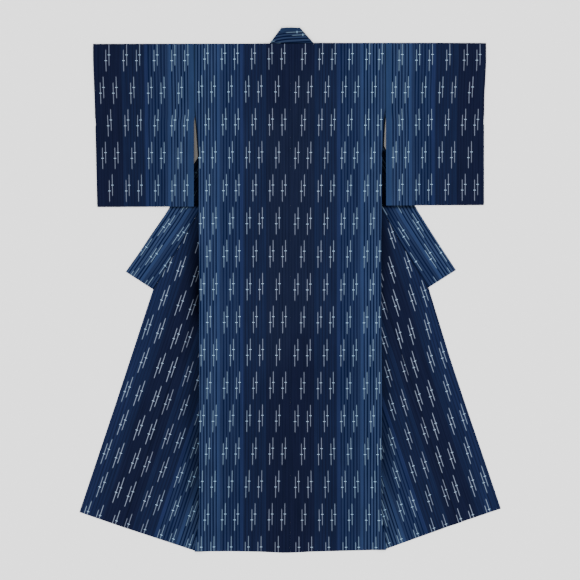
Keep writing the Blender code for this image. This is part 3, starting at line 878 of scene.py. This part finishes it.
# the ground where it isn't worn and where it is, its blues, and the pale yarn
NAVY, NAVY_WORN, DEEP = (0.005, 0.0068, 0.0202, 1), (0.0064, 0.0091, 0.0238, 1), (0.0037, 0.005, 0.0166, 1)
INDIGO, INDIGO_WORN = (0.0055, 0.009, 0.0275, 1), (0.0066, 0.0106, 0.0305, 1)
LINE_BLUE, BAND_BLUE = (0.0059, 0.0096, 0.029, 1), (0.0087, 0.0148, 0.0469, 1)
STRIPE_LIGHT, STRIPE_DARK = (0.0104, 0.0173, 0.045, 1), (0.003, 0.006, 0.0245, 1)
BROAD_LIGHT = (0.0148, 0.027, 0.0705, 1)
EDGE_LIGHT, EDGE_DARK = (0.0177, 0.0295, 0.067, 1), (0.0024, 0.0055, 0.0235, 1)
EDGE_PLAIN = (0.0126, 0.0246, 0.0625, 1)
TICK, TICK_BLUE = (0.268, 0.376, 0.51, 1), (0.238, 0.415, 0.6, 1)
BAR, BAR_BLUE, BAR_FRESH = (0.115, 0.134, 0.182, 1), (0.097, 0.148, 0.209, 1), (0.15, 0.179, 0.238, 1)

# a mark: two bars either side of its middle, one standing higher, and a short tick across each
PAIR_APART = 20.3                       # each mark of a pair lies this far from the middle
BAR_APART, BAR_STAGGER = 5.0, 9.3
# half of each size, where the yarn has faded out and where it is full
BAR_LONG, BAR_WIDE, TICK_LONG, TICK_WIDE = (36.0, 32.5), (1.5, 0.6), (4.3, 3.1), (1.3, 0.55)
LAST_TICK = (315.5, 314.5)              # no tick is on the selvedge itself
THREAD_ACROSS, THREAD_ALONG = 0.9, 0.8  # the weave's repeat

# the stripes, in millimetres from the dark selvedge: where each band begins, softly from one place to the
# next, and its dark lines: where the first lies, how far apart they are and how wide
DEEP_LINES = (5.0, 10.0, 3.0)
LINE_MIDDLE, LINE_EDGES = 81.5, (5.5, 3.5)
INDIGO_BAND, INDIGO_LINES = (84, 88), (93.0, 10.0, 3.4)
PLAIN_BAND = (149, 151)
STRIPED_BAND, STRIPED_LINES = (159.5, 161.5), (163.2, 10.05, 4.0)
BROAD_BAND, BROAD_BRIGHTENS = (221, 224), (219, 232)
EDGE_BAND, EDGE_LINES = (233.5, 235.5), (236.8, 9.95, 4.2)
OTHER_BAND, OTHER_BRIGHTENS, OTHER_LINES = (79, 85), (90, 138), (93.0, 10.0, 2.8)
# down the warp: where the rubbed part begins and ends, and where the cloth below it darkens
RUBBED_TOP, RUBBED_FOOT, LOW_CLOTH = (150, 300), (1120, 930), (1000, 1150)

# unevenness: how fine across and along, and its detail. Slubs are long and thin, stripes wander slowly,
# threads take the dye unevenly, and dark lines differ in breadth
SLUB, FINE_SLUB, WANDER = (0.9, 0.02, 3.0), (2.3, 0.05, 1.0), (0.01, 0.006, 1.0)
PATCH, STREAK, BREADTH = (0.02, 0.012, 3.0), (0.3, 0.004, 1.0), (0.09, 0.003, 2.0)


def kasuri(name, last_line=290.0, other_selvedge=False, rubbed=0.0):
    """Indigo cloth, striped lighter toward one selvedge, with pale ticks in pairs and singles by turns; or
    the same toward its dark selvedge, which has no light stripes. The upper back can be rubbed paler."""
    c = Surface(name)

    def read(attribute):
        kept = {"attribute_type": "GEOMETRY", "attribute_name": attribute}
        return c.apart(c.node("ShaderNodeAttribute", kept, out=1))

    u, v, hand = read("loom")
    seam, shade, stripe = read("state")

    def uneven(across, fine_across, fine_along, detail):
        return c.noise(c.vector(across * fine_across, v * fine_along, hand), 1.0, detail)

    kinds = (SLUB, FINE_SLUB, WANDER, PATCH, STREAK)
    slub, fine_slub, wander, patch, streak = (uneven(u, *kind) for kind in kinds)
    place = stripe + (slub - 0.5) * 0.7 + (wander - 0.5) * 0.6
    breadth = uneven(place, *BREADTH)

    def dark_lines(first, period, width):
        """1 on the dark yarns, each line about as wide as said, and 0 between."""
        off = c.math("PINGPONG", place - first, period / 2) - (breadth - 0.5) * 4.0
        return c.soft(off, width / 2 + 0.5, width / 2 - 0.5)

    worn, low = c.soft(v, *RUBBED_TOP) * c.soft(v, *RUBBED_FOOT) * rubbed, c.soft(v, *LOW_CLOTH) * rubbed
    navy, indigo = c.mix(worn, NAVY, NAVY_WORN), c.mix(worn, INDIGO, INDIGO_WORN)
    ground = c.mix(dark_lines(*DEEP_LINES) * 0.55, navy, DEEP)
    if other_selvedge:
        indigo = c.mix(c.soft(place, *OTHER_BRIGHTENS) * 0.5, indigo, BAND_BLUE)
        bands = [(OTHER_BAND, c.mix(dark_lines(*OTHER_LINES) * 0.8, indigo, NAVY))]
    else:
        ground = c.mix(c.soft(abs(place - LINE_MIDDLE), *LINE_EDGES), ground, LINE_BLUE)
        bands = [
            (INDIGO_BAND, c.mix(dark_lines(*INDIGO_LINES) * 0.9, indigo, NAVY)),
            (PLAIN_BAND, BAND_BLUE),
            (STRIPED_BAND, c.mix(dark_lines(*STRIPED_LINES), STRIPE_LIGHT, STRIPE_DARK)),
            (BROAD_BAND, c.mix(c.soft(place, *BROAD_BRIGHTENS), STRIPE_LIGHT, BROAD_LIGHT)),
            (EDGE_BAND, c.mix(dark_lines(*EDGE_LINES), EDGE_LIGHT, EDGE_DARK)),
            ((last_line, last_line + 2), EDGE_PLAIN),
        ]
    for band, colour in bands:
        ground = c.mix(c.soft(place, *band), ground, colour)
    ground = c.scaled(ground, 0.62 + streak * 0.76)

    # the marks: a pair and a single by turns, along each column and each row
    row = c.math("FLOOR", v / REPEAT_ALONG)
    dv = v - row * REPEAT_ALONG - TICK_ALONG
    col = c.math("ROUND", (u - TICK_ACROSS) / REPEAT_ACROSS)
    du = u - TICK_ACROSS - col * REPEAT_ACROSS
    pair = 1.0 - abs(c.math("MODULO", row + col, 2.0))
    side = c.math("SIGN", du)
    d = du - side * pair * PAIR_APART
    bar_side = c.math("SIGN", d)
    off = abs(d) - BAR_APART
    along = dv - bar_side * hand * BAR_STAGGER
    feather = (fine_slub - 0.5) * 9.0 + (slub - 0.5) * 5.0
    bar = c.soft(abs(off + (slub - 0.5) * 0.6), *BAR_WIDE) * c.soft(abs(along) + feather, *BAR_LONG)
    tick = (c.soft(abs(off) + (fine_slub - 0.5) * 0.8, *TICK_LONG)
            * c.soft(abs(along) + (fine_slub - 0.5) * 0.6, *TICK_WIDE) * c.soft(u, *LAST_TICK))
    bluer = c.soft(place, 60, 240)      # the pale yarn took up blue among the light stripes
    bar_yarn = c.mix(bluer, BAR_FRESH if other_selvedge else BAR, BAR_BLUE)
    colour = c.mix(bar * (0.5 + slub * 0.95), ground, bar_yarn)
    colour = c.mix(tick * 0.95, colour, c.mix(bluer, TICK, TICK_BLUE))
    # painted shade from the state darkens the colour here, as does nearness to a seam
    value = ((0.86 + patch * 0.28) * (0.9 + fine_slub * 0.2) * (1.0 - c.math("POWER", seam, 3.0) * 0.7)
             * (1.0 - shade * 0.95) * (1.0 - low * 0.1))
    colour = c.scaled(colour, value)

    # plain weave, with the warp standing proud
    warp = c.math("SINE", u * (2 * math.pi / THREAD_ACROSS))
    weft = c.math("SINE", v * (2 * math.pi / THREAD_ALONG))
    weave = warp * weft * 0.5 + slub * 1.6 + fine_slub * 0.8
    bump = c.node("ShaderNodeBump", None, {"Height": weave, "Strength": 0.25, "Distance": 0.0003})
    return c.finish(colour, 0.86 - tick * 0.06 + patch * 0.06, Metallic=0.0, Normal=bump)


body_cloth, sleeve_cloth = kasuri("body_kasuri", last_line=301.0, rubbed=0.85), kasuri("sleeve_kasuri")
overlap_cloth, collar_cloth = kasuri("overlap_kasuri", other_selvedge=True), kasuri("collar_kasuri")

for name in SIGN:
    body(name, body_cloth)
    sleeve(name, sleeve_cloth)
    okumi(name, overlap_cloth)
strip = collar(collar_cloth)


# the floor, the lights and the camera

def put(name, data):
    made = bpy.data.objects.new(name, data)
    bpy.context.scene.collection.objects.link(made)
    return made


# painted shade in each slit on the floor, in metres: its middle, and how far off the shade ends and how far
# off it is full
SLIT_X, SLIT_WIDE, SLIT_Y, SLIT_LONG = 0.3015, (0.016, 0.012), 0.486, (0.1, 0.088)
# the painted shadow beside the body, in millimetres: how far across it goes, what it loses per mm down, how
# it bows and where the bow is least; on the right it never ends nearer than the last line says
BLACK_LEFT, BLACK_RIGHT = (315.9, 0.0545, 0.00018, 354.0), (310.35, 0.03, 0.00045, 315.0)
BLACK_LEAST, BLACK_FROM, BLACK_SLOPE = 302.4, 331.5, 0.5
# the painted shadow's black, and the painted warm shade in the left and right slits
SLIT_PAINTED_SHADOW, SLIT_SHADE_LEFT, SLIT_SHADE_RIGHT = (0.004, 0.005, 0.007, 1), (0.085, 0.08, 0.074, 1), (0.155, 0.15, 0.143, 1)
PAPER_DARK, PAPER_LIGHT = (0.895, 0.895, 0.895, 1), (0.905, 0.905, 0.905, 1)


def floor_paper():
    """Pale paper. In each slit between body and sleeve it has painted warm shade, and a painted black shadow
    along the body's edge.
    """
    paper = Surface("floor_paper")
    grain = paper.noise(paper.node("ShaderNodeTexCoord", out=3), 3.0, 4.0)
    x, y, _ = paper.apart(paper.node("ShaderNodeTexCoord", out=3))
    slit = paper.soft(abs(abs(x) - SLIT_X), *SLIT_WIDE) * paper.soft(abs(y - SLIT_Y), *SLIT_LONG)
    across, down, left = abs(x) * 1000.0, SHOULDER_Y - y * 1000.0, paper.soft(x, 0.01, -0.01)

    def bowed(start, per_mm, bow, at):
        """Across where the painted shadow ends: a slanting line that bows out from a place down."""
        return start - down * per_mm + paper.math("POWER", abs(at - down), 2.0) * bow

    shadow_to = left * bowed(*BLACK_LEFT) + (1.0 - left) * bowed(*BLACK_RIGHT)
    least = BLACK_LEAST + (down - BLACK_FROM) * BLACK_SLOPE
    shadow_to = paper.math("MAXIMUM", shadow_to, (1.0 - left) * least)
    slit_shade_colour = paper.mix(left, SLIT_SHADE_RIGHT, SLIT_SHADE_LEFT)
    # painted shadow along the body's edge, painted warm shade across the rest of the slit
    shade = paper.mix(paper.soft(across - shadow_to, -0.5, 0.5), SLIT_PAINTED_SHADOW, slit_shade_colour)
    lit = paper.mix(grain, PAPER_DARK, PAPER_LIGHT)
    return paper.finish(paper.mix(slit, lit, shade), 0.95)


FLOOR_HALF = 6
floor = put("floor", bpy.data.meshes.new("floor"))
corners = [(-1, -1), (1, -1), (1, 1), (-1, 1)]
floor.data.from_pydata([(FLOOR_HALF * x, FLOOR_HALF * y, 0) for x, y in corners], [], [(0, 1, 2, 3)])
floor.data.materials.append(floor_paper())

world = bpy.data.worlds.new("studio")
bpy.context.scene.world = world
world.use_nodes = True
world.node_tree.nodes["Background"].inputs["Color"].default_value = (1, 1, 1, 1)
world.node_tree.nodes["Background"].inputs["Strength"].default_value = 1.5
# each sun's turn about X and Y, strength and spread
for name, turn, strength, spread in (("key", (32, -14), 2.45, 60), ("fill", (-25, 22), 0.96, 90)):
    lamp = put(name, bpy.data.lights.new(name, "SUN"))
    lamp.rotation_euler = (math.radians(turn[0]), math.radians(turn[1]), 0)
    lamp.data.energy = strength
    lamp.data.angle = math.radians(spread)

LENS, SENSOR = 85.0, 36.0
PICTURE_WIDTH = 0.58 * 3.2              # metres of cloth across the picture
camera = put("camera", bpy.data.cameras.new("camera"))
camera.data.lens = LENS
camera.data.sensor_width = SENSOR
camera.location = (-0.0008, 0.0009, PICTURE_WIDTH * LENS / SENSOR + 0.003)
camera.rotation_euler = (0, 0, 0)
bpy.context.scene.camera = camera
